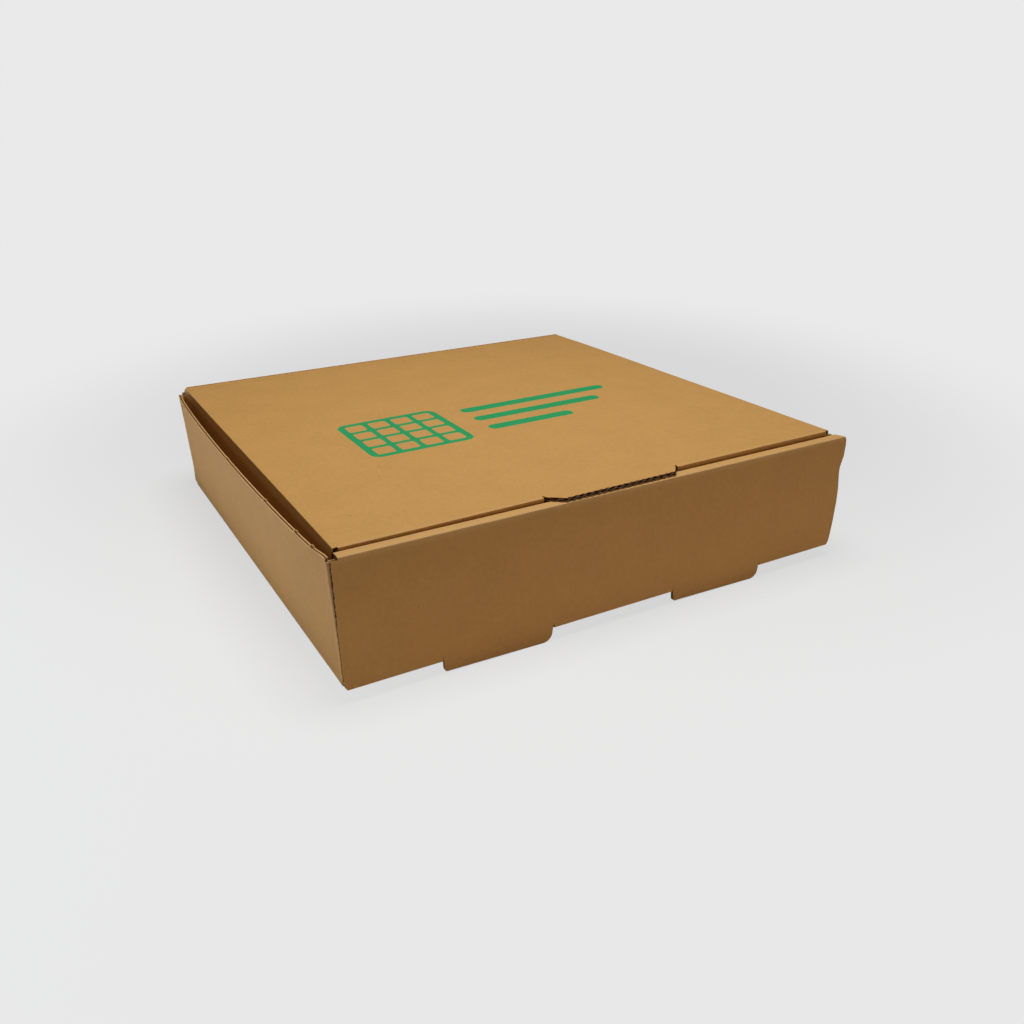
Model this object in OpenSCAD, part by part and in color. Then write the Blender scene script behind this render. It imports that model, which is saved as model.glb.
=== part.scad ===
// Folded corrugated box for a waffle or a small pie: a shallow tray with a rolled front wall,
// and a lid that hinges on the crease at the top of the back wall.
// Millimetres. The origin is the middle of the underside of the base, and the front faces -Y.

/* [Tray] */
// Width over the side walls at the base
body_w = 230; // [170:1:320]
// Depth from the front panel to the back wall
body_d = 229; // [170:1:320]
// Height of the rolled front rim above the underside of the base
rim_h = 51; // [44:1:80]
// How far the side walls stop short of the rim's height
side_step = 0.5; // [0.2:0.1:3]

/* [Board] */
// Thickness of the corrugated board
board = 1.5; // [1:0.1:2]
// Radius inside a crease
crease_r = 0.3; // [0.2:0.1:1]
// Radius outside a crease, which scoring makes sharper than the board's own bend
edge_r = 0.8; // [0.5:0.1:1.3]
// Gap between two layers that lie on each other
ply_gap = 0.2; // [0.1:0.05:0.5]

/* [Front wall] */
// Length of each tongue that is cut from the base and stays in the plane of the front panel
tongue_w = 47; // [20:1:60]
// Distance of each tongue's middle from the middle between them
tongue_offset = 52.2; // [35:1:70]
// How far the pair of tongues sits left of the middle of the box
tongue_shift = 1.7; // [0:0.1:3]
// How far the tongues hang below the base
tongue_drop = 5.2; // [3:0.1:9]
// How much less a tongue hangs at its left end
tongue_slope = 0.8; // [0:0.1:1.5]
// Radius of the tongues' rounded corner, on the right
tongue_round = 4; // [1:0.1:4.2]
// Slant of the tongues' right end
tongue_slant = 0.8; // [0:0.1:1.5]
// How far the front panel's left end leans out at its top
panel_lean_left = 0.7; // [0:0.1:3]
// How far the front panel's right end stands out over most of its height
panel_lean_right = 2.2; // [0:0.1:3]
// Further flare of the front panel's top right corner
panel_flare = 1.3; // [0:0.1:3]
// Depth of the waist under that flare
panel_waist = 0.7; // [0:0.1:1.5]
// Radius of the front panel's corners
panel_round = 2; // [0.5:0.1:4]
// Clearance of the lock tabs at each end of their slots
lock_clear = 1; // [0.3:0.1:3]

/* [Side walls] */
// How far the middle of the left wall's top edge bows out past its ends
bow_left = 4.6; // [0:0.1:8]
// How far the rear end of the left wall leans out at its top
lean_rear_left = 2.2; // [0:0.1:4]
// How far the ends of the right wall lean out at their tops
lean_right = 1; // [0:0.1:4]
// Length of the dust flaps, from the side walls inwards
dust_w = 44; // [20:1:60]
// How much the free end of a dust flap tapers, top and bottom
dust_taper = 5; // [1:0.5:12]

/* [Lid] */
// Gap between the lid's flaps and the walls round them
lid_clear = 0.4; // [0.3:0.05:1]
// Gap between the rim and the underside of the lid
lid_rest = 0.2; // [0.1:0.05:0.5]
// Depth of the lid's front flap below the lid's top face
front_drop = 38; // [20:1:41]
// Depth of the lid's side flaps below the lid's top face
side_drop = 34; // [20:1:41]
// Lean of the side flaps away from the walls, in degrees
side_lean = 2; // [0:0.5:5]
// How much the ends of the lid's flaps taper towards their free edge
flap_taper = 9; // [4:0.5:16]
// Radius of the lid flaps' free corners
flap_round = 6; // [2:0.5:10]
// Gap between the lid's side flaps and the rear dust flaps
rear_clear = 2; // [1:0.5:6]

/* [Finger tab] */
// Width of the finger tab where it leaves the lid
finger_w = 61; // [30:1:80]
// How far the finger tab's left end reaches forward of the lid's front crease
finger_reach = 5; // [3:0.1:6]
// How much further back the finger tab's right end stops
finger_skew = 2; // [0:0.1:3]
// Slant of the finger tab's left end
finger_slant = 7; // [2:0.5:12]

/* [Hidden] */

// Steps of a crease's arc, and stations along a side wall
arc_steps = 6;
wall_steps = 18;
// Overlap that joins two panels of one sheet
lap = 3;
// Margin by which a cutting block passes what it cuts
cut = 1;
// Extra lean of the lid's front flap, in degrees, past what its swing needs
lean_spare = 1;
// How square the bow of the left wall is: 1 is a plain sine
bow_power = 0.7;
// Heights on the front panel's right end, as shares of the rim's height: where its flare
// starts, where its waist is, and between which it stands upright
flare_at = 0.86;
waist_at = 0.7;
upright_to = 0.5;
upright_from = 0.4;
// Steps of the eased curves between them
ease_steps = 4;
// Turn of the rounded free corners of the lid's flaps, in degrees
corner_turn = 70;
// Facets of the lid's rounded rear edge
edge_facets = 32;
// Hinge play between the top of the back wall and the lid's rounded rear edge
hinge_play = 0.3;

outer_r = crease_r + board;
front_y = -body_d / 2;
back_y = body_d / 2;
side_x = body_w / 2;
side_h = rim_h - side_step;
// Front faces of the dust flap and of the inner panel, and the inner panel's back face
dust_y = front_y + board + ply_gap;
inner_front_y = dust_y + board + ply_gap;
inner_y = inner_front_y + board;
inner_w = body_w - 2 * (board + ply_gap);
dust_h = rim_h - board - ply_gap;
floor_z = board + ply_gap;
slot_d = tongue_drop + board;
wall_front_y = inner_y + ply_gap;
rear_dust_y = back_y - board - ply_gap;
wall_back_y = rear_dust_y - outer_r - ply_gap;

lid_z = rim_h + lid_rest;
lid_top = lid_z + board;
hinge_z = lid_z + board / 2;
hinge_y = back_y - board / 2;
back_h = lid_z - hinge_play;
lid_w = body_w - 2 * (board + lid_clear);
lid_x = lid_w / 2;
lid_front_y = inner_y + lid_clear;
lid_reach = hinge_y - lid_front_y;
front_lean = asin(front_drop / (2 * lid_reach)) + lean_spare;
front_flap_w = lid_w - 2 * (outer_r + board + lid_clear);
side_flap_front_y = lid_front_y + outer_r;
side_flap_back_y = rear_dust_y - board - rear_clear;

function arc(c, r, from, to) = [
    for (i = [0:arc_steps])
        let (a = from + (to - from) * i / arc_steps)
        [c[0] + r * cos(a), c[1] + r * sin(a)]
];

// Points that ease from one point of an outline to another that is lower or higher
function ease(from, to) = [
    for (i = [1:ease_steps])
        let (t = i / ease_steps)
        [from[0] + (to[0] - from[0]) * (1 - cos(180 * t)) / 2, from[1] + (to[1] - from[1]) * t]
];

// Section of the rolled front wall, as y and z: base crease, outer panel, rim and inner panel
function front_section() =
    let (
        low = [front_y + outer_r, outer_r],
        top = [front_y + outer_r, rim_h - outer_r],
        roll = [inner_y - outer_r, rim_h - outer_r]
    )
    concat(
        [[front_y + outer_r + lap, 0]],
        arc([front_y + edge_r, edge_r], edge_r, 270, 180),
        arc([front_y + edge_r, rim_h - edge_r], edge_r, 180, 90),
        arc([inner_y - edge_r, rim_h - edge_r], edge_r, 90, 0),
        [[inner_y, floor_z], [inner_front_y, floor_z]],
        arc(roll, crease_r, 0, 90),
        arc(top, crease_r, 90, 180),
        arc(low, crease_r, 180, 270),
        [[front_y + outer_r + lap, board]]
    );

// Section of a base crease and the top corners of its panel, or else the outer corner where a
// side sheet stands on it; the first number runs inwards from the panel's face, and the second
// up from the underside of the base
function crease_section(panel = [[0, outer_r]]) =
    concat(
        [[outer_r + lap, 0]],
        arc([edge_r, edge_r], edge_r, 270, 180),
        panel,
        arc([outer_r, outer_r], crease_r, 180, 270),
        [[outer_r + lap, board]]
    );

// Section of a lid crease with its flap; the first number runs inwards from the crease, and
// the second up from the lid's top face
function flap_section(drop, lean) =
    let (
        c = [outer_r, -outer_r],
        along = (drop - outer_r) / cos(lean),
        foot = along * [sin(lean), -cos(lean)],
        out_end = c + outer_r * [-cos(lean), -sin(lean)],
        in_end = c + crease_r * [-cos(lean), -sin(lean)],
        edge_c = [outer_r - (outer_r - edge_r) * (1 + sin(lean)) / cos(lean), -edge_r]
    )
    concat(
        [[outer_r + lap, 0]],
        arc(edge_c, edge_r, 90, 180 + lean),
        [out_end + foot, in_end + foot],
        arc(c, crease_r, 180 + lean, 90),
        [[outer_r + lap, -board]]
    );

// Sideways shift of the top of a side wall, at a share t of its length from front to back
function wall_shift(t, front, rear, bow) =
    front + (rear - front) * t + bow * pow(max(0, sin(180 * t)), bow_power);

// Prism along X of a section given as y and z
module prism_x(from, to, section) {
    translate([from, 0, 0])
        rotate([90, 0, 90])
            linear_extrude(to - from)
                polygon(section);
}

// Prism along Y of an outline given as x and z
module prism_y(from, to, outline) {
    translate([0, to, 0])
        rotate([90, 0, 0])
            linear_extrude(to - from)
                polygon(outline);
}

// Closed solid through rings that have the same number of points
module loft(rings) {
    n = len(rings[0]);
    m = len(rings);
    sides = [
        for (i = [0:m - 2], j = [0:n - 1], half = [0, 1])
            let (a = i * n + j, b = i * n + (j + 1) % n)
            half == 0 ? [a, a + n, b] : [b, a + n, b + n]
    ];
    first = [for (j = [0:n - 1]) j];
    last = [for (j = [n - 1:-1:0]) (m - 1) * n + j];
    polyhedron(points = [for (r = rings, p = r) p], faces = concat(sides, [first, last]));
}

module base() {
    translate([-side_x + outer_r, front_y + outer_r, 0])
        cube([body_w - 2 * outer_r, body_d - 2 * outer_r, board]);
}

// Outline of the front panel, seen from the front
function panel_outline() =
    let (
        top_l = -side_x - panel_lean_left,
        mid_r = side_x + panel_lean_right,
        top_r = mid_r + panel_flare,
        flare = [top_r, rim_h * flare_at],
        waist = [mid_r - panel_waist, rim_h * waist_at],
        r = panel_round
    )
    concat(
        [[-side_x + crease_r, 0], [-side_x, outer_r], [top_l, rim_h]],
        arc([top_r - r, rim_h - r], r, 90, 0),
        [flare],
        ease(flare, waist),
        ease(waist, [mid_r, rim_h * upright_to]),
        [[mid_r, rim_h * upright_from]],
        arc([side_x - r, r], r, 0, -90)
    );

module front_wall() {
    reach = side_x + panel_lean_right + panel_flare;
    difference() {
        intersection() {
            prism_x(-reach, reach, front_section());
            prism_y(front_y - cut, inner_y + lap, panel_outline());
        }
        // The rim and the inner panel end at the left wall
        translate([-reach - cut, front_y + board, outer_r])
            cube([reach + cut - inner_w / 2, inner_y - front_y, rim_h]);
        // On the right the rim runs on over the corner, and only the inner panel ends
        translate([inner_w / 2, front_y + board, outer_r])
            cube([reach, inner_y - front_y, dust_h - outer_r]);
    }
}

// Outline of a tongue, seen from the front: square on its left, rounded and slanted on its right
function tongue_outline(low) =
    let (half = tongue_w / 2, r = tongue_round)
    concat(
        [[-half, outer_r], [-half, low + tongue_slope]],
        arc([half - tongue_slant - r, low + r], r, -90, 0),
        [[half, outer_r]]
    );

module tongue() {
    prism_y(front_y, front_y + board, tongue_outline(-tongue_drop));
}

// Slot that a tongue leaves in the base
module slot() {
    translate([-tongue_w / 2, front_y + board, -cut])
        cube([tongue_w, slot_d, board + 2 * cut]);
}

// Tab of the inner panel that locks in a slot
module lock_tab() {
    translate([-tongue_w / 2 + lock_clear, inner_front_y, 0])
        cube([tongue_w - 2 * lock_clear, board, outer_r + lap]);
}

module back_wall() {
    mirror([0, 1, 0])
        translate([0, -back_y, 0])
            prism_x(-lid_x, lid_x, crease_section([[0, back_h], [board, back_h]]));
    for (side = [-1, 1])
        back_corner(side);
}

// End of the back wall beside the lid's crease, lower than the crease
module back_corner(side) {
    width = side_x - lid_x + lap;
    translate([side > 0 ? side_x - width : -side_x, back_y - board, outer_r])
        cube([width, board, side_h - outer_r]);
}

// Corners of one station of a side sheet: its outer and inner point in plan, the heights of
// its lower and upper edge, and how far its upper edge leans out
function station(at, inside, low, high, shift) =
    let (
        out = -shift * (high - outer_r) / (side_h - outer_r),
        under = -shift * (low - outer_r) / (side_h - outer_r)
    )
    [
        [at[0] + under, at[1], low],
        [at[0] + out, at[1], high],
        [inside[0] + out, inside[1], high],
        [inside[0] + under, inside[1], low]
    ];

// Stations from a dust flap's free end to the end of its wall, for the front left corner
function corner_stations(y, inward, shift) =
    let (
        back = y + inward * board,
        middle = -side_x + dust_w / 2,
        outer_c = [-side_x + edge_r, y + inward * edge_r],
        inner_c = [-side_x + outer_r, y + inward * outer_r],
        end = -side_x + dust_w
    )
    concat(
        [
            station([end, y], [end, back], outer_r + dust_taper, dust_h - dust_taper, shift),
            station([middle, y], [middle, back], outer_r, dust_h, shift)
        ],
        [
            for (i = [0:arc_steps])
                let (a = 90 * i / arc_steps, n = [sin(a), inward * cos(a)])
                station(outer_c - edge_r * n, inner_c - crease_r * n, outer_r, dust_h, shift)
        ]
    );

function backwards(list) = [for (i = [len(list) - 1:-1:0]) list[i]];

// Side wall with its two dust flaps, one sheet bent round both corners; drawn for the left
module side_sheet(front, rear, bow) {
    length = wall_back_y - wall_front_y;
    wall = [
        for (i = [0:wall_steps])
            let (t = i / wall_steps, y = wall_front_y + length * t, shift = wall_shift(t, front, rear, bow))
            station([-side_x, y], [-side_x + board, y], outer_r, side_h, shift)
    ];
    loft(concat(
        corner_stations(dust_y, 1, front),
        wall,
        backwards(corner_stations(rear_dust_y, -1, rear))
    ));
}

// Crease that joins a side wall to the base
module side_crease() {
    translate([-side_x, back_y - outer_r, 0])
        rotate([90, 0, 0])
            linear_extrude(body_d - 2 * outer_r)
                polygon(crease_section());
}

module side(front, rear, bow) {
    side_sheet(front, rear, bow);
    side_crease();
}

module tray() {
    color([0.72, 0.56, 0.36]) {
        difference() {
            union() {
                base();
                front_wall();
            }
            for (s = [-1, 1])
                translate([s * tongue_offset - tongue_shift, 0, 0])
                    slot();
        }
        for (s = [-1, 1])
            translate([s * tongue_offset - tongue_shift, 0, 0]) {
                tongue();
                lock_tab();
            }
        back_wall();
        side(panel_lean_left, lean_rear_left, bow_left);
        mirror([1, 0, 0])
            side(lean_right, lean_right, 0);
    }
}

// Outline of the lid with its finger tab, seen from above
function lid_outline() =
    let (
        half = finger_w / 2,
        tip_l = lid_front_y - finger_reach,
        tip_r = tip_l + finger_skew,
        root = lid_front_y + outer_r
    )
    [
        [-lid_x + outer_r, hinge_y],
        [-lid_x + outer_r, root],
        [-half, root],
        [-half, lid_front_y],
        [-half + finger_slant, tip_l],
        [half, tip_r],
        [half, root],
        [lid_x - outer_r, root],
        [lid_x - outer_r, hinge_y]
    ];

module lid_panel() {
    translate([0, 0, lid_z])
        linear_extrude(board)
            polygon(lid_outline());
    translate([-lid_x + outer_r, hinge_y, hinge_z])
        rotate([0, 90, 0])
            cylinder(h = lid_w - 2 * outer_r, d = board, $fn = edge_facets);
}

// Outline of a hanging flap that tapers to rounded free corners; z runs down from the lid's top
function flap_outline(from, to, drop) =
    let (r = flap_round, low = -drop)
    concat(
        [[from, cut], [from, -outer_r]],
        arc([from + flap_taper + r, low + r], r, 270 - corner_turn, 270),
        arc([to - flap_taper - r, low + r], r, 270, 270 + corner_turn),
        [[to, -outer_r], [to, cut]]
    );

// Front flap, with the notch that the finger tab leaves in it
module front_flap() {
    half = front_flap_w / 2;
    notch = finger_reach + outer_r;
    corner_x = lid_x - edge_r;
    translate([0, 0, lid_top])
        difference() {
            union() {
                intersection() {
                    translate([0, lid_front_y, 0])
                        prism_x(-half, half, flap_section(front_drop, front_lean));
                    prism_y(lid_front_y - cut, lid_front_y + front_drop, flap_outline(-half, half, front_drop));
                }
                // The crease runs on past the flap, out to the lid's corners
                translate([0, lid_front_y, 0])
                    prism_x(-corner_x, corner_x, flap_section(outer_r + crease_r, front_lean));
            }
            translate([-finger_w / 2 - ply_gap, lid_front_y - cut, -notch])
                cube([finger_w + 2 * ply_gap, notch + cut, notch + cut]);
        }
}

// Stretch of a side flap's crease, between two places along Y
module side_fold(from, to, drop) {
    translate([0, to, 0])
        rotate([90, 0, 0])
            linear_extrude(to - from)
                polygon(flap_section(drop, side_lean));
}

// Left side flap as drawn
module side_flap() {
    translate([-lid_x, 0, lid_top]) {
        intersection() {
            side_fold(side_flap_front_y, side_flap_back_y, side_drop);
            prism_x(-cut, lid_x, flap_outline(side_flap_front_y, side_flap_back_y, side_drop));
        }
        // The crease runs on past the flap, from the lid's front corner to the back wall
        side_fold(lid_front_y + edge_r, back_y - board - lid_clear, outer_r + crease_r);
    }
}

module lid() {
    color([0.76, 0.59, 0.36]) {
        lid_panel();
        front_flap();
        side_flap();
        mirror([1, 0, 0])
            side_flap();
    }
}

tray();
lid();
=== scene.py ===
"""Kraft waffle box: a folded corrugated tray and its hinged lid, dressed over the CAD frame.

Each sheet of board is laid out flat, cut and scored there, and then folded round the same
creases as the CAD part. The board has two liners with a fluted sheet between them.
Lengths are millimetres until a piece is finished; the CAD frame is in metres.
"""

import math

import bmesh
import bpy
from mathutils import Matrix, Vector, noise


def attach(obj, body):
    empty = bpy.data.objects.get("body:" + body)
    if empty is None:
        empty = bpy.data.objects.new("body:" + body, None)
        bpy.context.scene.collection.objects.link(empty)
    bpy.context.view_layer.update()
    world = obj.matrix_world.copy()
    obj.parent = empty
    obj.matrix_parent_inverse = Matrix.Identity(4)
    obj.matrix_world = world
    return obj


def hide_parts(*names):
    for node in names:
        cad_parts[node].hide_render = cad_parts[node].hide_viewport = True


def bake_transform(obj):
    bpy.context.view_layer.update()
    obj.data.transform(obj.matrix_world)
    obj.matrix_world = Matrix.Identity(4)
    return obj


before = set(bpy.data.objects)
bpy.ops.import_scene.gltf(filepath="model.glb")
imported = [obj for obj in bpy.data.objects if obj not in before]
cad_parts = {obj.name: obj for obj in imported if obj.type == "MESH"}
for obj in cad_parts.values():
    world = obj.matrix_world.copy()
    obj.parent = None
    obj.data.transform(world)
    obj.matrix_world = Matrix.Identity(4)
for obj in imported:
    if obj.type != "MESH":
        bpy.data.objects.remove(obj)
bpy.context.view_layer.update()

MM = 0.001

# Sizes of the box, as the CAD part has them
SIDE_X = 115.0
FRONT_Y = -114.5
BACK_Y = 114.5
RIM_H = 51.0
SIDE_H = 50.5
BOARD = 1.5
OUTER_R = 1.8
EDGE_R = 0.8
LID_EDGE_R = 0.45
RIM_EDGE_R = 0.5
INSIDE_R = 0.3
MID_R = 1.05
CREASE = MID_R * math.pi / 2
DUST_Y = -112.8
DUST_H = 49.3
DUST_W = 44.0
DUST_TAPER = 5.0
INNER_X = 113.3
FLOOR_Z = 1.7
TONGUE_W = 47.0
TONGUE_MIDDLES = (-53.9, 50.5)
TONGUE_DROP = 5.2
TONGUE_SLOPE = 0.8
TONGUE_ROUND = 4.0
TONGUE_SLANT = 0.8
LID_TOP = 52.7
LID_X = 113.1
LID_FRONT_Y = -109.2
HINGE_Y = 113.75
HINGE_Z = 51.95
BACK_H = 50.9
FRONT_DROP = 38.0
FRONT_LEAN = 5.889
SIDE_DROP = 34.0
SIDE_LEAN = 2.0
FLAP_BACK_Y = 110.8
FOLD_BACK_Y = 113.5
FINGER_LEFT = -31.6
FINGER_RIGHT = 27.0

# The board: liners, fluted sheet and the flutes' spacing
LINER = 0.26
FLUTED = 0.2
FLUTE = 3.4
WAVE = BOARD / 2 - LINER - FLUTED / 2
KERF = 0.15

# The front wall: its inner panel, the flat of its rim and its raw left edge
INNER_PANEL_Y = -110.35
RIM_FLAT = 1.3
RAW_EDGE_RIM = -116.0
RAW_EDGE_TOP = -116.1
RAW_EDGE_FALL = 0.8
RAW_EDGE_FOOT = -115.2
RAW_EDGE_STEPS = 56
RAW_EDGE_ROUGH = 0.3
LINER_EDGE = -115.7

# The side walls. A wall is its lean at the front, its lean at the rear and its bow
WALL_RUN = 222.0
WALL_FRONT_Y = -111.0
WALL_LENGTH = 110.8 + 109.4
LEFT_WALL = (2.1, 2.2, 3.9)
RIGHT_WALL = (1.0, 1.0, 0.0)
NICK_PLACES = (-101.0, -86.5, -53.0, 0.0)
NICK = ((-1.1, 0.0), (-0.7, 0.8), (0.5, 0.6), (0.8, -0.6), (1.6, 0.0))

# The finger tab: how far its two tips reach, and the steps and teeth of its torn edge
TIP_LEFT = 5.0
TIP_RIGHT = 4.6
TORN_STEPS = 36
TOOTH = 0.42

# The print on the lid, in metres: the waffle and its cells, then each bar's y and half length
WAFFLE_X, WAFFLE_Y = -0.045, -0.012
WAFFLE_HALF = 0.024
CELL_STEP = 0.011
CELL_HALF = 0.0042
BARS_X = -0.01
BARS = ((0.002, 0.040), (-0.012, 0.034), (-0.026, 0.022))
BAR_HALF = 0.0032

# The photograph's camera: yaw, pitch and roll in degrees, and its place in millimetres
CAMERA_TURN = (29.112, 23.322, 0.875)
CAMERA_AT = (-198.89, -384.96, 186.11)
CAMERA_LENS = 33.43

# The lights, in metres: name, place, target, size, watts and tint
LIGHTS = (
    ("top_light", (0.0, -0.06, 0.58), (0.0, 0.0, 0), (0.28, 0.28), 2.92, (1, 1, 1)),
    ("left_fill", (-0.9, -0.1, 0.5), (-0.1, 0.0, 0.05), (0.3, 0.3), 0.65, (1.0, 0.95, 0.8)),
    ("front_light", (0.35, -0.5, 0.01), (0.03, 0.0, 0.025), (0.5, 0.018), 0.16, (1.0, 0.85, 0.7)),
    ("left_light", (-0.29, 0.075, 0.009), (0, 0.075, 0.025), (0.55, 0.016), 0.255, (0.54, 0.74, 1.0)),
)

# The floor: its colour for the light it sends back and for the camera, and where its painted shadow centres
FLOOR_BOUNCE = (0.95, 0.82, 0.72, 1)
FLOOR_SEEN = (0.9, 0.9, 0.9, 1)
FLOOR_PAINTED_SHADOW_AT = (0.11, 0.15, 0)


def stations(low, high, step):
    """Evenly spaced lines from low to high, about step apart."""
    count = max(1, round((high - low) / step))
    return [low + (high - low) * i / count for i in range(count + 1)]


def arc(centre, radius, start, end, steps=5):
    """Points of an arc, in degrees."""
    turn = [math.radians(start + (end - start) * i / steps) for i in range(steps + 1)]
    return [(centre[0] + radius * math.cos(a), centre[1] + radius * math.sin(a)) for a in turn]


def ease(start, end, steps=5):
    """Points that ease from one place to another in their second number."""
    turn = [i / steps for i in range(steps)]
    return [
        (start[0] + (end[0] - start[0]) * t, start[1] + (end[1] - start[1]) * (1 - math.cos(math.pi * t)) / 2)
        for t in turn
    ]


def smooth(t):
    """0 below 0, 1 above 1 and an even curve between."""
    t = min(1.0, max(0.0, t))
    return t * t * (3 - 2 * t)


def walk(start, heading, spans):
    """The fold path of a sheet: spans are (length, turn in degrees), 0 for a flat."""
    path, s = [], 0.0
    p = Vector(start)
    for length, turn in spans:
        path.append((s, length, p.copy(), heading, turn))
        a = math.radians(heading)
        if turn:
            b = a + math.radians(turn)
            r = length / math.radians(turn)
            p = p + r * Vector((-math.sin(a), math.cos(a))) - r * Vector((-math.sin(b), math.cos(b)))
            heading += turn
        else:
            p = p + length * Vector((math.cos(a), math.sin(a)))
        s += length
    return path


def along(path, s, w, outer, sharp=EDGE_R):
    """Where a point s along the path and w off the middle of the board lies.

    sharp is the radius outside its bends."""
    span = path[0]
    for candidate in path:
        if candidate[0] <= s + 1e-6:
            span = candidate
    s0, length, p, heading, turn = span
    a = math.radians(heading)
    normal = Vector((-math.sin(a), math.cos(a)))
    ahead = Vector((math.cos(a), math.sin(a)))
    start = p + outer * w * normal
    if not turn:
        return start + (s - s0) * ahead
    # A scored bend is sharper outside than the board is thick, with a short flat either side
    side = math.copysign(1.0, turn)
    theta = math.radians(abs(turn))
    full = MID_R - side * outer * w
    share = (full - INSIDE_R) / BOARD
    tight = INSIDE_R + (sharp - INSIDE_R) * share
    flat = (full - tight) * math.tan(theta / 2)
    run = (s - s0) / length * (2 * flat + tight * theta)
    if run <= flat:
        return start + run * ahead
    past = min(run - flat, tight * theta)
    b = a + side * past / tight
    turned = Vector((-math.sin(b), math.cos(b)))
    at = start + flat * ahead + side * tight * (normal - turned)
    return at + max(0.0, run - flat - tight * theta) * Vector((math.cos(b), math.sin(b)))


def bends(path):
    """Where each bend of a path starts and ends."""
    return [(s0, s0 + length) for s0, length, _, _, turn in path if turn]


def fold_lines(spots):
    """Cuts through each bend, and the lines beside it along which its paler band fades (rubbed fibres and
    painted highlight).
    """
    lines = []
    for start, end in spots:
        lines += stations(start, end, (end - start) / 6)
        lines += [start - 1.6, start - 0.7, end + 0.7, end + 1.6]
    return lines


def wear_and_highlight(value, spots):
    """1 along the middle of a bend, fading to 0 beside it: the paler band of rubbed fibres and painted
    highlight.
    """
    best = 0.0
    for start, end in spots:
        away = abs(value - (start + end) / 2)
        best = max(best, 1 - away / 1.2)
    return best


def flute_turn(at):
    """How far round the flutes' wave a place across them is."""
    return at / FLUTE * 2 * math.pi


def flat_sheet(faces, u_lines, v_lines):
    """A bmesh of the flat faces, cut along the lines and given two sides, at z 0 and 1.

    Faces are (tag, outline). Faces that share corners stay joined."""
    bm = bmesh.new()
    corners = {}
    for tag, outline in faces:
        ring = []
        for u, v in outline:
            key = (round(u, 3), round(v, 3))
            if key not in corners:
                corners[key] = bm.verts.new((u, v, 0))
            if not ring or ring[-1] is not corners[key]:
                ring.append(corners[key])
        bm.faces.new(ring).material_index = tag
    for axis, lines in (((1, 0, 0), u_lines), ((0, 1, 0), v_lines)):
        for line in sorted(set(round(value, 4) for value in lines)):
            bmesh.ops.bisect_plane(
                bm,
                geom=bm.verts[:] + bm.edges[:] + bm.faces[:],
                dist=1e-4,
                plane_co=tuple(line * c for c in axis),
                plane_no=axis,
            )
    made = bmesh.ops.extrude_face_region(bm, geom=bm.faces[:])
    for v in made["geom"]:
        if isinstance(v, bmesh.types.BMVert):
            v.co.z = 1
    return bm


def folded(name, faces, u_lines, v_lines, place, low, high, marks, material):
    """One layer of a sheet as an object. low and high give the layer's two sides."""
    bm = flat_sheet(faces, u_lines, v_lines)
    # The fold mask: where the paper is painted paler at bends and edges, partly rubbed fibres and partly
    # painted highlight
    rubbed_and_highlit = bm.verts.layers.float.new("fold")
    across = bm.verts.layers.float.new("across")
    for v in bm.verts:
        tag = max(f.material_index for f in v.link_faces)
        u, t, top = v.co
        w = (high if top > 0.5 else low)(tag, u, t)
        v[rubbed_and_highlit], v[across] = marks(tag, u, t)
        v.co = Vector(place(tag, u, t, w)) * MM
    for f in bm.faces:
        f.material_index = 0
        f.smooth = True
    bmesh.ops.recalc_face_normals(bm, faces=bm.faces[:])
    for e in bm.edges:
        if len(e.link_faces) == 2 and e.calc_face_angle(0) > math.radians(38):
            e.smooth = False
    mesh = bpy.data.meshes.new(name)
    bm.to_mesh(mesh)
    bm.free()
    mesh.materials.append(material)
    obj = bpy.data.objects.new(name, mesh)
    bpy.context.scene.collection.objects.link(obj)
    return obj


def board(name, faces, u_lines, v_lines, place, marks, flute, wave_lines, outside, inside, core_painted_dark, inner=LINER):
    """The three layers of one sheet. flute gives the coordinate across the flutes."""
    half = BOARD / 2

    def level(w):
        return lambda tag, u, v: w

    def ripple(side):
        return lambda tag, u, v: (
            WAVE * math.sin(2 * math.pi * flute(tag, u, v) / FLUTE) + side * FLUTED / 2
        )

    wave_u, wave_v = wave_lines
    layers = (
        ("_out", u_lines, v_lines, level(half - LINER), level(half), outside),
        ("_in", u_lines, v_lines, level(-half), level(inner - half), inside),
        ("_core", wave_u, wave_v, ripple(-1), ripple(1), core_painted_dark),
    )
    return [
        folded(name + end, faces, cut_u, cut_v, place, low, high, marks, material)
        for end, cut_u, cut_v, low, high, material in layers
    ]


def join(name, parts):
    """One piece from several meshes."""
    with bpy.context.temp_override(
        active_object=parts[0], object=parts[0], selected_objects=parts, selected_editable_objects=parts
    ):
        bpy.ops.object.join()
    parts[0].name = name
    parts[0].data.name = name
    return parts[0]


# Materials


def add(tree, kind, links=None, **settings):
    """A node with its settings, and its inputs linked or set."""
    made = tree.nodes.new(kind)
    for key, value in settings.items():
        setattr(made, key, value)
    for key, value in (links or {}).items():
        if isinstance(value, bpy.types.NodeSocket):
            tree.links.new(value, made.inputs[key])
        else:
            made.inputs[key].default_value = value
    return made


def calc(tree, operation, a, b=0.0):
    """The result of a maths node."""
    return add(tree, "ShaderNodeMath", {0: a, 1: b}, operation=operation).outputs[0]


def blend_colour(tree, mask, a, b):
    """Colour a, turning into b by the mask."""
    made = add(tree, "ShaderNodeMix", data_type="RGBA", blend_type="MIX")
    for socket, value in ((made.inputs["Factor"], mask), (made.inputs[6], a), (made.inputs[7], b)):
        if isinstance(value, bpy.types.NodeSocket):
            tree.links.new(value, socket)
        else:
            socket.default_value = value
    return made.outputs[2]


def remap(tree, value, low, high, to_low=0.0, to_high=1.0):
    """A value moved smoothly from one range to another."""
    made = add(
        tree,
        "ShaderNodeMapRange",
        {"Value": value, "From Min": low, "From Max": high, "To Min": to_low, "To Max": to_high},
        interpolation_type="SMOOTHSTEP",
    )
    return made.outputs[0]


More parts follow.
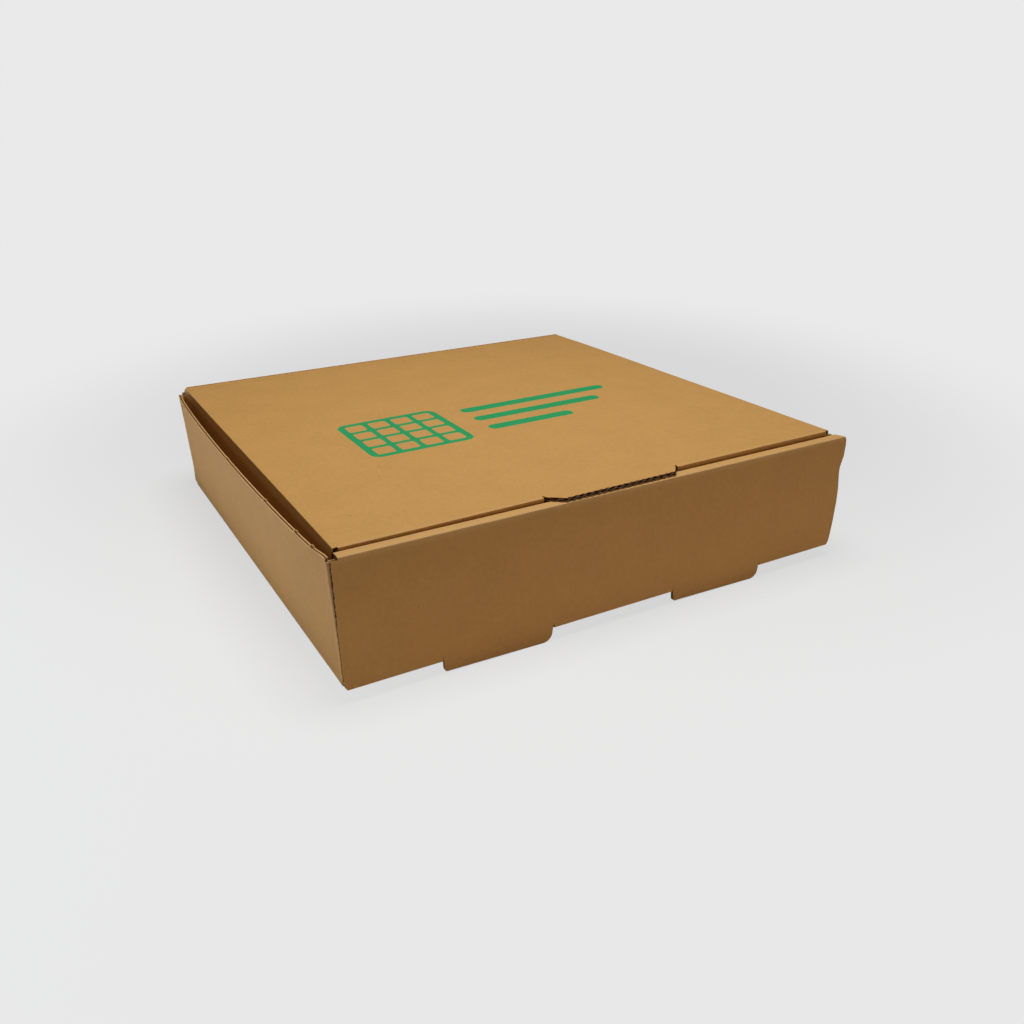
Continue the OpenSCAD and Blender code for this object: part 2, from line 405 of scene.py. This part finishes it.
def group(name, inputs, outputs):
    """An empty shader node group with its sockets, and its two end nodes."""
    tree = bpy.data.node_groups.new(name, "ShaderNodeTree")
    for label, kind in inputs:
        tree.interface.new_socket(name=label, in_out="INPUT", socket_type=kind)
    for label, kind in outputs:
        tree.interface.new_socket(name=label, in_out="OUTPUT", socket_type=kind)
    return tree, tree.nodes.new("NodeGroupInput"), tree.nodes.new("NodeGroupOutput")


def kraft_group():
    """Brown paper: fibres, soft clouds, a few specks, faint flute lines, and paler folds of rubbed fibres and
    painted highlight.
    """
    tree, given, out = group(
        "kraft_paper",
        [("Paper", "NodeSocketColor")],
        [("Colour", "NodeSocketColor"), ("Normal", "NodeSocketVector")],
    )
    where = add(tree, "ShaderNodeTexCoord").outputs["Object"]
    clouds = add(tree, "ShaderNodeTexNoise", {"Vector": where, "Scale": 55, "Detail": 3}).outputs[0]
    mottle = add(tree, "ShaderNodeTexNoise", {"Vector": where, "Scale": 420, "Detail": 4}).outputs[0]
    stretched = add(tree, "ShaderNodeVectorMath", {0: where, 1: (1.0, 0.22, 1.0)}, operation="MULTIPLY")
    fibres = add(
        tree, "ShaderNodeTexNoise", {"Vector": stretched.outputs[0], "Scale": 1500, "Detail": 3}
    ).outputs[0]
    spots = add(tree, "ShaderNodeTexNoise", {"Vector": where, "Scale": 620, "Detail": 1}).outputs[0]
    speck = remap(tree, spots, 0.74, 0.79)
    fold = add(tree, "ShaderNodeAttribute", attribute_name="fold").outputs["Fac"]
    across = add(tree, "ShaderNodeAttribute", attribute_name="across").outputs["Fac"]
    tone = remap(tree, clouds, 0.3, 0.7, 0.98, 1.02)
    for grain in (mottle, fibres):
        tone = calc(tree, "ADD", tone, remap(tree, grain, 0.3, 0.7, -0.025, 0.025))
    paper = add(tree, "ShaderNodeVectorMath", {0: given.outputs[0]}, operation="SCALE")
    tree.links.new(tone, paper.inputs["Scale"])
    # Paler by the fold mask: rubbed fibres at bends, and painted highlight on bends, the rim top and the
    # walls' top edges
    pale = blend_colour(tree, calc(tree, "MULTIPLY", fold, 0.3), paper.outputs[0], (0.72, 0.47, 0.22, 1))
    colour = blend_colour(tree, calc(tree, "MULTIPLY", speck, 0.45), pale, (0.16, 0.08, 0.03, 1))
    tree.links.new(colour, out.inputs["Colour"])
    lines = calc(tree, "MULTIPLY", calc(tree, "SINE", across), 0.35)
    height = calc(tree, "ADD", lines, calc(tree, "MULTIPLY", fibres, 0.8))
    bump = add(tree, "ShaderNodeBump", {"Height": height, "Strength": 0.25, "Distance": 0.00005})
    tree.links.new(bump.outputs[0], out.inputs["Normal"])
    return tree


def kraft(name, paper, painted=None):
    """A board face: the kraft group's colour and relief on a matt surface."""
    material = bpy.data.materials.new(name)
    material.use_nodes = True
    tree = material.node_tree
    shader = tree.nodes["Principled BSDF"]
    surface = add(tree, "ShaderNodeGroup", node_tree=KRAFT)
    surface.inputs["Paper"].default_value = paper
    colour = surface.outputs["Colour"]
    if painted:
        colour = painted(tree, colour)
    tree.links.new(colour, shader.inputs["Base Color"])
    tree.links.new(surface.outputs["Normal"], shader.inputs["Normal"])
    shader.inputs["Roughness"].default_value = 0.72
    shader.inputs["Specular IOR Level"].default_value = 0.3
    shader.inputs["Sheen Weight"].default_value = 0.03
    shader.inputs["Sheen Roughness"].default_value = 0.5
    return material


KRAFT = kraft_group()
PAPER = (0.52, 0.275, 0.077, 1)
outside = kraft("kraft_outer_liner", PAPER)
# The inner liner is a darker kraft; part of that darkness is painted shade for the gaps between lid and walls
inside = kraft("kraft_inner_liner_shade_darkened", (0.43, 0.225, 0.063, 1))
# The fluted sheet is coloured far darker than kraft: painted shade for the dark hollows at the raw edges
core_painted_dark = kraft("fluted_sheet_painted_shade", (0.07, 0.024, 0.005, 1))


def build_tray():
    """The tray: front wall, base and back wall in one sheet, and the two side sheets."""
    wall = RIM_H - OUTER_R
    path = walk(
        (INNER_PANEL_Y, FLOOR_Z),
        90,
        [(wall - FLOOR_Z, 0), (CREASE, 90), (RIM_FLAT, 0), (CREASE, 90), (wall - OUTER_R, 0), (CREASE, 90),
         (2 * (BACK_Y - OUTER_R), 0), (CREASE, 90), (BACK_H - OUTER_R, 0)],
    )
    rim_in, rim_out, foot, heel = bends(path)
    front_end = rim_out[0] + CREASE * 0.75
    s_foot, s_base, s_heel, s_back = foot[0], foot[1], heel[0], heel[1]
    end = s_back + BACK_H - OUTER_R

    def z_to_s(z):
        return rim_out[1] + wall - z

    left = [(0, -INNER_X), (front_end, -INNER_X), (front_end, RAW_EDGE_RIM), (rim_out[1], RAW_EDGE_TOP)]
    for i in range(1, RAW_EDGE_STEPS):
        down = i / RAW_EDGE_STEPS
        rough = RAW_EDGE_ROUGH * noise.noise(Vector((i * 0.9, 2.2, 0.0)))
        left.append((rim_out[1] + (s_foot - rim_out[1]) * down, RAW_EDGE_TOP + RAW_EDGE_FALL * down + rough))
    left.append((s_foot, RAW_EDGE_FOOT))
    base_x = SIDE_X - OUTER_R
    tongues = []
    bottom = []
    notches = []
    for middle in TONGUE_MIDDLES:
        a, b = middle - TONGUE_W / 2, middle + TONGUE_W / 2
        tip = s_foot + OUTER_R + TONGUE_DROP
        bottom += [(s_foot, a - KERF), (s_foot, a), (s_foot, b), (s_foot, b + KERF)]
        r = TONGUE_ROUND
        tip_a = tip - TONGUE_SLOPE
        tongues.append(
            [(s_foot, a), (tip_a - 0.8, a + 0.3), (tip_a - 0.2, a + 0.6), (tip_a, a + 1.3)]
            + arc((tip - r, b - TONGUE_SLANT - r), r, 0, 75)
            + [(s_foot + 0.7, b - 0.5), (s_foot, b)]
        )
        notches += [(s_foot, a - KERF), (tip + KERF, a - KERF), (tip + KERF, b + KERF), (s_foot, b + KERF)]
    # The right end from the foot up: a slow swell, the waist and the flare under the rim
    right = [(s_foot, SIDE_X), (z_to_s(4.0), 115.5), (z_to_s(11.0), 116.4)]
    right += ease((z_to_s(20.4), 117.15), (z_to_s(25.5), 117.2), 2)
    right += ease((z_to_s(25.5), 117.2), (z_to_s(35.7), 116.5))
    right += ease((z_to_s(35.7), 116.5), (z_to_s(43.9), 118.4))
    right += [
        (z_to_s(47.0), 118.5),
        (rim_out[1], 118.45),
        (rim_out[0] + CREASE * 0.7, 118.1),
        (rim_out[0] + CREASE * 0.35, 117.5),
        (rim_out[0], 117.0),
        (rim_in[1], 116.6),
        (rim_in[0] + CREASE * 0.4, 116.2),
        (rim_in[0] + CREASE * 0.4, INNER_X),
        (0, INNER_X),
    ]
    locks = []
    for middle in reversed(TONGUE_MIDDLES):
        half = TONGUE_W / 2 - 1
        locks += [(0, middle + half), (-FLOOR_Z, middle + half)]
        locks += [(-FLOOR_Z, middle - half), (0, middle - half)]
    front = left + bottom + right + locks
    back = (
        [(s_foot, RAW_EDGE_FOOT)]
        + notches
        + [(s_foot, SIDE_X), (s_base, base_x), (s_heel, base_x), (s_back, SIDE_X)]
        + [(s_back + SIDE_H - OUTER_R, SIDE_X), (s_back + SIDE_H - OUTER_R, LID_X), (end, LID_X)]
        + [(end, -LID_X), (s_back + SIDE_H - OUTER_R, -LID_X), (s_back + SIDE_H - OUTER_R, -SIDE_X)]
        + [(s_back, -SIDE_X), (s_heel, -base_x), (s_base, -base_x)]
    )
    tongue_path = walk(along(path, s_foot, 0, 1), 270, [(20, 0)])

    def place(tag, u, v, w):
        # At the raw edge the outer liner is torn back, and the layers under it start below the rim
        if v < -SIDE_X and w > LINER and u < s_foot:
            v = max(v, LINER_EDGE + 0.5 * noise.noise(Vector((u * 1.7, 0.4, 0.0))))
        if v < -INNER_X - 0.1 and w < BOARD / 2 - LINER - 0.1 and u < rim_out[1] - 0.2:
            u = rim_out[1] - 0.2
        if tag == 1 and u > s_foot:
            y, z = along(tongue_path, u - s_foot, w, -1)
        else:
            y, z = along(path, u, w, -1, RIM_EDGE_R)
        return (v, y, z)

    spots = bends(path)
    rubbed_and_highlit = [rim_in, rim_out, heel]

    # The rim's flat top is painted paler as a painted highlight; its bends get the paler band of rubbed
    # fibres and painted highlight
    def marks(tag, u, v):
        rim_painted_highlight = 0.8 if rim_in[1] <= u <= rim_out[0] else 0.0
        return (max(rim_painted_highlight, wear_and_highlight(u, rubbed_and_highlit)), flute_turn(v))

    u_lines = fold_lines(spots) + stations(8, 44, 12) + stations(s_foot - 40, s_foot - 6, 11)
    u_lines += stations(s_base + 12, s_heel - 12, 20) + stations(s_back + 6, end - 6, 12)
    faces = [(0, front), (0, back)] + [(1, t) for t in tongues]
    ripples = (fold_lines(spots), stations(-118, 118, FLUTE / 6))
    parts = board(
        "wrap", faces, u_lines, stations(-114, 114, 12), place, marks,
        lambda tag, u, v: v, ripples, outside, inside, core_painted_dark,
    )
    for side, shift in ((-1, LEFT_WALL), (1, RIGHT_WALL)):
        parts += side_sheet(side, shift)
    return join("tray_board", parts)


def wall_shift(t, shift):
    """How far a wall's top edge stands out at t, from 0 at its front end to 1 at its rear end."""
    front, rear, bow = shift
    t = min(1.0, max(0.0, t))
    return front + (rear - front) * t + bow * math.sin(math.pi * t) ** 0.5


def side_sheet(side, shift):
    """A side wall with its dust flaps, bent round both corners, and its base crease."""
    path = walk(
        (-SIDE_X + DUST_W, DUST_Y + BOARD / 2),
        180,
        [(DUST_W - OUTER_R, 0), (CREASE, -90), (WALL_RUN, 0), (CREASE, -90), (DUST_W - OUTER_R, 0)],
    )
    corner_a, corner_b = bends(path)
    length = path[-1][0] + path[-1][1]
    top = SIDE_H - OUTER_R
    dust = DUST_H - OUTER_R
    low = -(CREASE + 1.0)
    step_a, step_b = corner_a[0] + 0.6 * CREASE, corner_b[0] - 0.2
    nicks = []
    if side < 0:
        for y in NICK_PLACES:
            s = corner_a[1] + y - WALL_FRONT_Y
            nicks += [(s + ahead, top + up) for ahead, up in NICK]
    outline = [(0, DUST_TAPER), (DUST_W / 2, 0), (corner_a[1], 0), (corner_a[1], low), (corner_b[0], low)]
    outline += [(corner_b[0], 0), (length - DUST_W / 2, 0), (length, DUST_TAPER), (length, dust - DUST_TAPER)]
    outline += [(length - DUST_W / 2, dust), (step_b, dust), (step_b, top)] + nicks[::-1]
    outline += [(step_a, top), (step_a, dust), (DUST_W / 2, dust), (0, dust - DUST_TAPER)]
    foot = walk((BOARD / 2, OUTER_R), 270, [(CREASE, 90), (5, 0)])

    def lean(s):
        return wall_shift((s - corner_a[1] - 1.6) / WALL_LENGTH, shift)

    def place(tag, u, v, w):
        x, y = along(path, u, w, 1)
        if v >= 0:
            x -= lean(u) * v / top
            z = OUTER_R + v
        else:
            inward, z = along(foot, -v, w, -1)
            x += inward - BOARD / 2 + w
        return (-side * x, y, z)

    creases = [(-CREASE, 0)]

    def marks(tag, u, v):
        # The wall's raw top edge is painted paler all along: a painted highlight
        edge = 1.0 if v > top - 0.1 else 0.0
        return (max(edge, wear_and_highlight(u, bends(path)), wear_and_highlight(v, creases)), flute_turn(v))

    u_lines = fold_lines(bends(path)) + stations(corner_a[1] + 1.6, corner_b[0] - 0.2, 10)
    ripples = (u_lines, stations(low + 0.1, top - 0.1, FLUTE / 6) + fold_lines(creases))
    v_lines = fold_lines(creases) + stations(8, 44, 12) + [top - 0.5]
    return board(
        "side", [(0, outline)], u_lines, v_lines, place, marks,
        lambda tag, u, v: v, ripples, outside, inside, core_painted_dark, 0.6,
    )


def lid_warp(x, y):
    """Gentle unevenness of the lid, in millimetres."""
    hold = smooth((HINGE_Y - y) / 40)
    lean = -0.6 * smooth(-x / 113) + 0.45 * smooth(x / 113)
    return hold * (lean + 0.12 * noise.noise(Vector((x / 60, y / 60, 3.1))))


def finger_tab():
    """Outline of the finger tab from its right root to its left root, torn along the flutes."""
    tip_l, tip_r = LID_FRONT_Y - TIP_LEFT, LID_FRONT_Y - TIP_RIGHT
    root = LID_FRONT_Y + OUTER_R
    slant = FINGER_LEFT + 7
    points = [(FINGER_RIGHT + 3.0, root), (FINGER_RIGHT, LID_FRONT_Y - 3.2), (FINGER_RIGHT - 1.5, tip_r)]
    for i in range(1, TORN_STEPS):
        t = i / TORN_STEPS
        x = FINGER_RIGHT - 1.5 + (slant - FINGER_RIGHT + 1.5) * t
        y = tip_r + (tip_l - tip_r) * t
        points.append((x, y + (TOOTH if i % 2 else 0.0)))
    points += [(slant, tip_l), (FINGER_LEFT + 2.6, LID_FRONT_Y - 1.6), (FINGER_LEFT, root)]
    return points


def build_lid():
    """The lid: its panel with the finger tab, the front flap and the two side flaps."""
    root = LID_FRONT_Y + OUTER_R
    edge = LID_X - OUTER_R
    half = 109.4
    gap_l, gap_r = FINGER_LEFT - 0.2, FINGER_RIGHT + 3.2
    mid_z = LID_TOP - BOARD / 2
    tab = finger_tab()
    shoulder = edge - 0.1
    panel = [(-edge, HINGE_Y), (-edge, FOLD_BACK_Y), (-edge, root), (-shoulder, root), (gap_l, root)]
    panel += tab[::-1] + [(gap_r, root), (shoulder, root), (edge, root), (edge, FOLD_BACK_Y), (edge, HINGE_Y)]
    arc_len = MID_R * math.radians(90 + FRONT_LEAN)
    front_path = walk((-root, mid_z), 0, [(arc_len, -(90 + FRONT_LEAN)), (60, 0)])
    drop = FRONT_DROP - OUTER_R
    deep = arc_len + drop / math.cos(math.radians(FRONT_LEAN))
    notch = arc_len + 5.2
    r = 6.0

    def flap_corner(u, v, side):
        """Rounded free corner of a flap; u out of the crease, v along it."""
        return [(u - r + r * math.sin(math.radians(a)), v + side * r * math.cos(math.radians(a)))
                for a in (0, 20, 40, 60, 75, 90)]

    taper = 9.0
    right_corner = [(v, -u) for u, v in flap_corner(deep, half - taper - r, 1)]
    left_corner = [(v, -u) for u, v in flap_corner(deep, -(half - taper - r), -1)]
    front = [(-shoulder, 0), (-shoulder, -arc_len), (-half, -arc_len)] + left_corner + right_corner[::-1]
    front += [(half, -arc_len), (shoulder, -arc_len), (shoulder, 0)]
    front += [(gap_r, 0), (gap_r, -notch), (gap_l, -notch), (gap_l, 0)]
    front = [(x, y + root) for x, y in front]
    side_arc = MID_R * math.radians(90 + SIDE_LEAN)
    side_path = walk((edge, mid_z), 0, [(side_arc, -(90 + SIDE_LEAN)), (60, 0)])
    side_deep = side_arc + (SIDE_DROP - OUTER_R) / math.cos(math.radians(SIDE_LEAN))
    fore = flap_corner(side_deep, root + taper + r, -1)
    aft = flap_corner(side_deep, FLAP_BACK_Y - taper - r, 1)
    flap = [(0, root), (0, LID_FRONT_Y + 0.5), (side_arc, LID_FRONT_Y + 0.5), (side_arc, root)]
    flap += fore + aft[::-1] + [(side_arc, FLAP_BACK_Y), (side_arc, FOLD_BACK_Y), (0, FOLD_BACK_Y)]
    right = [(edge + u, v) for u, v in flap]
    left = [(-edge - u, v) for u, v in flap]

    def place(tag, u, v, w):
        if tag == 1:
            ahead, z = along(front_path, root - v, w, 1, LID_EDGE_R)
            return (u, -ahead, z + lid_warp(u, root - 6))
        if tag in (2, 3):
            side = 1 if tag == 3 else -1
            reach = side * u - edge
            out, z = along(side_path, reach, w, 1, LID_EDGE_R)
            if tag == 2:
                out += 2.0 * smooth((v - 98) / 14) * smooth(reach / 3.5) * (1 - smooth((reach - 4) / 15))
            return (side * out, v, z + lid_warp(side * edge, v))
        if v < LID_FRONT_Y - 1 and w > LINER:
            v += 0.7
        return (u, v, mid_z + w + lid_warp(u, max(v, root - 6)))

    front_spots = [(root - arc_len, root)]
    side_spots = [(-edge - side_arc, -edge), (edge, edge + side_arc)]

    def marks(tag, u, v):
        # The lid's front crease is painted a little paler: rubbed fibres and painted highlight
        rubbed_and_highlit = 0.0
        if tag == 1 or (tag == 0 and not gap_l <= u <= gap_r):
            rubbed_and_highlit = wear_and_highlight(v, front_spots)
        return (0.4 * rubbed_and_highlit, flute_turn(flute(tag, u, v)))

    def flute(tag, u, v):
        return v if tag in (2, 3) else u

    u_lines = fold_lines(side_spots) + stations(-104, 104, 13)
    v_lines = fold_lines(front_spots) + stations(root + 12, HINGE_Y - 3, 12)
    faces = [(0, panel), (1, front), (2, left), (3, right)]
    ripples = (stations(-111, 111, FLUTE / 6) + fold_lines(side_spots), v_lines)
    parts = board("lid", faces, u_lines, v_lines, place, marks, flute, ripples, printed, inside, core_painted_dark)
    return join("lid_board", parts)


def rounded_box_group():
    """1 inside a rectangle with rounded corners, on the XY plane, in metres."""
    tree, given, out = group(
        "rounded_box",
        [("Where", "NodeSocketVector"), ("Middle", "NodeSocketVector"),
         ("Half", "NodeSocketVector"), ("Corner", "NodeSocketFloat")],
        [("Mask", "NodeSocketFloat")],
    )
    where, middle, half, corner = given.outputs[:4]
    offset = add(tree, "ShaderNodeVectorMath", {0: where, 1: middle}, operation="SUBTRACT")
    away = add(tree, "ShaderNodeVectorMath", {0: offset.outputs[0]}, operation="ABSOLUTE")
    past = add(tree, "ShaderNodeVectorMath", {0: away.outputs[0], 1: half}, operation="SUBTRACT")
    split = add(tree, "ShaderNodeSeparateXYZ", {0: past.outputs[0]})
    x = calc(tree, "MAXIMUM", calc(tree, "ADD", split.outputs[0], corner), 0.0)
    y = calc(tree, "MAXIMUM", calc(tree, "ADD", split.outputs[1], corner), 0.0)
    squares = calc(tree, "ADD", calc(tree, "MULTIPLY", x, x), calc(tree, "MULTIPLY", y, y))
    reach = calc(tree, "SQRT", squares)
    tree.links.new(calc(tree, "LESS_THAN", reach, corner), out.inputs[0])
    return tree


def print_mask(tree, where):
    """A plain waffle and three bars, as a mask on the lid's top."""
    shape = rounded_box_group()

    def box(cx, cy, half_x, half_y, corner):
        made = add(tree, "ShaderNodeGroup", node_tree=shape)
        tree.links.new(where, made.inputs["Where"])
        made.inputs["Middle"].default_value = (cx, cy, 0)
        made.inputs["Half"].default_value = (half_x, half_y, 0)
        made.inputs["Corner"].default_value = corner
        return made.outputs[0]

    mask = box(WAFFLE_X, WAFFLE_Y, WAFFLE_HALF, WAFFLE_HALF, 0.005)
    for i in range(4):
        for j in range(4):
            cell_x, cell_y = WAFFLE_X + CELL_STEP * (i - 1.5), WAFFLE_Y + CELL_STEP * (j - 1.5)
            cell = box(cell_x, cell_y, CELL_HALF, CELL_HALF, 0.0012)
            mask = calc(tree, "SUBTRACT", mask, cell)
    for cy, half in BARS:
        mask = calc(tree, "MAXIMUM", mask, box(BARS_X + half, cy, half, BAR_HALF, 0.003))
    height = add(tree, "ShaderNodeSeparateXYZ", {0: where}).outputs[2]
    return calc(tree, "MULTIPLY", mask, calc(tree, "GREATER_THAN", height, 0.0505))


def painted(tree, paper):
    """The paper with the green print on the lid's top."""
    where = add(tree, "ShaderNodeTexCoord").outputs["Object"]
    ink = add(tree, "ShaderNodeVectorMath", {0: paper, 1: (0.03, 1.08, 1.25)}, operation="MULTIPLY")
    return blend_colour(tree, print_mask(tree, where), paper, ink.outputs[0])


printed = kraft("printed_kraft", PAPER, painted)


def build_crease():
    """The paper that bends at the top of the back wall, where the lid hinges."""
    path = walk(
        (BACK_Y - 0.03, 47.0), 90,
        [(HINGE_Z - 47.0, 0), (0.72 * math.pi / 2, 90), (5.0, 0)],
    )
    total = path[-1][0] + path[-1][1]
    reach = LID_X - 0.6

    def place(tag, u, v, w):
        y, z = along(path, u, w, -1)
        return (v, y, z)

    outline = [(0, -reach), (total, -reach), (total, reach), (0, reach)]
    lines = fold_lines(bends(path)) + stations(1, total - 1, 0.7)
    # The hinge bend is painted paler: rubbed fibres and painted highlight
    return folded(
        "lid_crease", [(0, outline)], lines, stations(-100, 100, 20), place,
        lambda tag, u, v: -0.05, lambda tag, u, v: 0.05,
        lambda tag, u, v: (wear_and_highlight(u, bends(path)), flute_turn(v)), outside,
    )


tray = build_tray()
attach(tray, "tray")
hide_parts("tray")
lid = build_lid()
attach(lid, "lid")
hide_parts("lid")
crease = build_crease()
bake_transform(crease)


def photo_camera():
    """The photograph's camera, from the box's corners in it."""
    yaw, pitch, roll = (math.radians(a) for a in CAMERA_TURN)
    ahead = Vector((math.sin(yaw) * math.cos(pitch), math.cos(yaw) * math.cos(pitch), -math.sin(pitch)))
    right = Vector((math.cos(yaw), -math.sin(yaw), 0))
    down = ahead.cross(right)
    x = right * math.cos(roll) + down * math.sin(roll)
    y = right * math.sin(roll) - down * math.cos(roll)
    data = bpy.data.cameras.new("photo_camera")
    data.sensor_width = 36
    data.lens = CAMERA_LENS
    data.clip_start = 0.01
    obj = bpy.data.objects.new("photo_camera", data)
    bpy.context.scene.collection.objects.link(obj)
    place = Matrix((x, y, -ahead)).transposed().to_4x4()
    place.translation = Vector(CAMERA_AT) * MM
    obj.matrix_world = place
    bpy.context.scene.camera = obj


def area_light(name, at, towards, size, watts, tint):
    """A rectangular light at one place, turned towards another."""
    data = bpy.data.lights.new(name, "AREA")
    data.shape = "RECTANGLE"
    data.size, data.size_y = size
    data.energy = watts
    data.color = tint
    obj = bpy.data.objects.new(name, data)
    bpy.context.scene.collection.objects.link(obj)
    obj.location = at
    obj.rotation_euler = (Vector(towards) - Vector(at)).to_track_quat("-Z", "Y").to_euler()


def studio():
    """Pale floor with a painted shadow round the box, pale surroundings and the soft lights."""
    scene = bpy.context.scene
    scene.view_settings.view_transform = "Standard"
    world = bpy.data.worlds.new("studio")
    scene.world = world
    world.use_nodes = True
    tree = world.node_tree
    tree.nodes.clear()
    pale = add(tree, "ShaderNodeBackground", {"Color": (0.82, 0.82, 0.82, 1), "Strength": 1.0})
    ambient = add(tree, "ShaderNodeBackground", {"Color": (1, 1, 1, 1), "Strength": 0.05})
    rays = add(tree, "ShaderNodeLightPath").outputs["Is Camera Ray"]
    mix = add(tree, "ShaderNodeMixShader", {0: rays, 1: ambient.outputs[0], 2: pale.outputs[0]})
    out = add(tree, "ShaderNodeOutputWorld")
    tree.links.new(mix.outputs[0], out.inputs[0])
    for light in LIGHTS:
        area_light(*light)

    bm = bmesh.new()
    bmesh.ops.create_grid(bm, x_segments=1, y_segments=1, size=4)
    slope = TONGUE_DROP / (BACK_Y - OUTER_R - FRONT_Y)
    for v in bm.verts:
        v.co.z = slope * (v.co.y - (BACK_Y - OUTER_R) * MM) - 0.0001
    mesh = bpy.data.meshes.new("floor")
    bm.to_mesh(mesh)
    bm.free()
    floor = bpy.data.objects.new("floor", mesh)
    scene.collection.objects.link(floor)
    material = bpy.data.materials.new("pale_floor")
    material.use_nodes = True
    tree = material.node_tree
    tree.nodes.clear()
    rays = add(tree, "ShaderNodeLightPath").outputs["Is Camera Ray"]
    shade = blend_colour(tree, rays, FLOOR_BOUNCE, FLOOR_SEEN)
    matt = add(tree, "ShaderNodeBsdfDiffuse", {"Color": shade})
    where = add(tree, "ShaderNodeTexCoord").outputs["Object"]
    away = add(tree, "ShaderNodeVectorMath", {0: where}, operation="LENGTH").outputs["Value"]
    far = remap(tree, away, 0.12, 0.42, 0.85, 1.0)
    from_painted_shadow = add(tree, "ShaderNodeVectorMath", {0: where, 1: FLOOR_PAINTED_SHADOW_AT}, operation="DISTANCE")
    # The floor's emission for the camera is weaker near the box: a painted shadow round it
    painted_shadow_strength = remap(tree, from_painted_shadow.outputs["Value"], 0.14, 0.38, 0.7, 0.82)
    even = add(tree, "ShaderNodeEmission", {"Strength": painted_shadow_strength})
    seen = calc(tree, "MULTIPLY", far, rays)
    mix = add(tree, "ShaderNodeMixShader", {0: seen, 1: matt.outputs[0], 2: even.outputs[0]})
    out = add(tree, "ShaderNodeOutputMaterial")
    tree.links.new(mix.outputs[0], out.inputs[0])
    mesh.materials.append(material)


photo_camera()
studio()
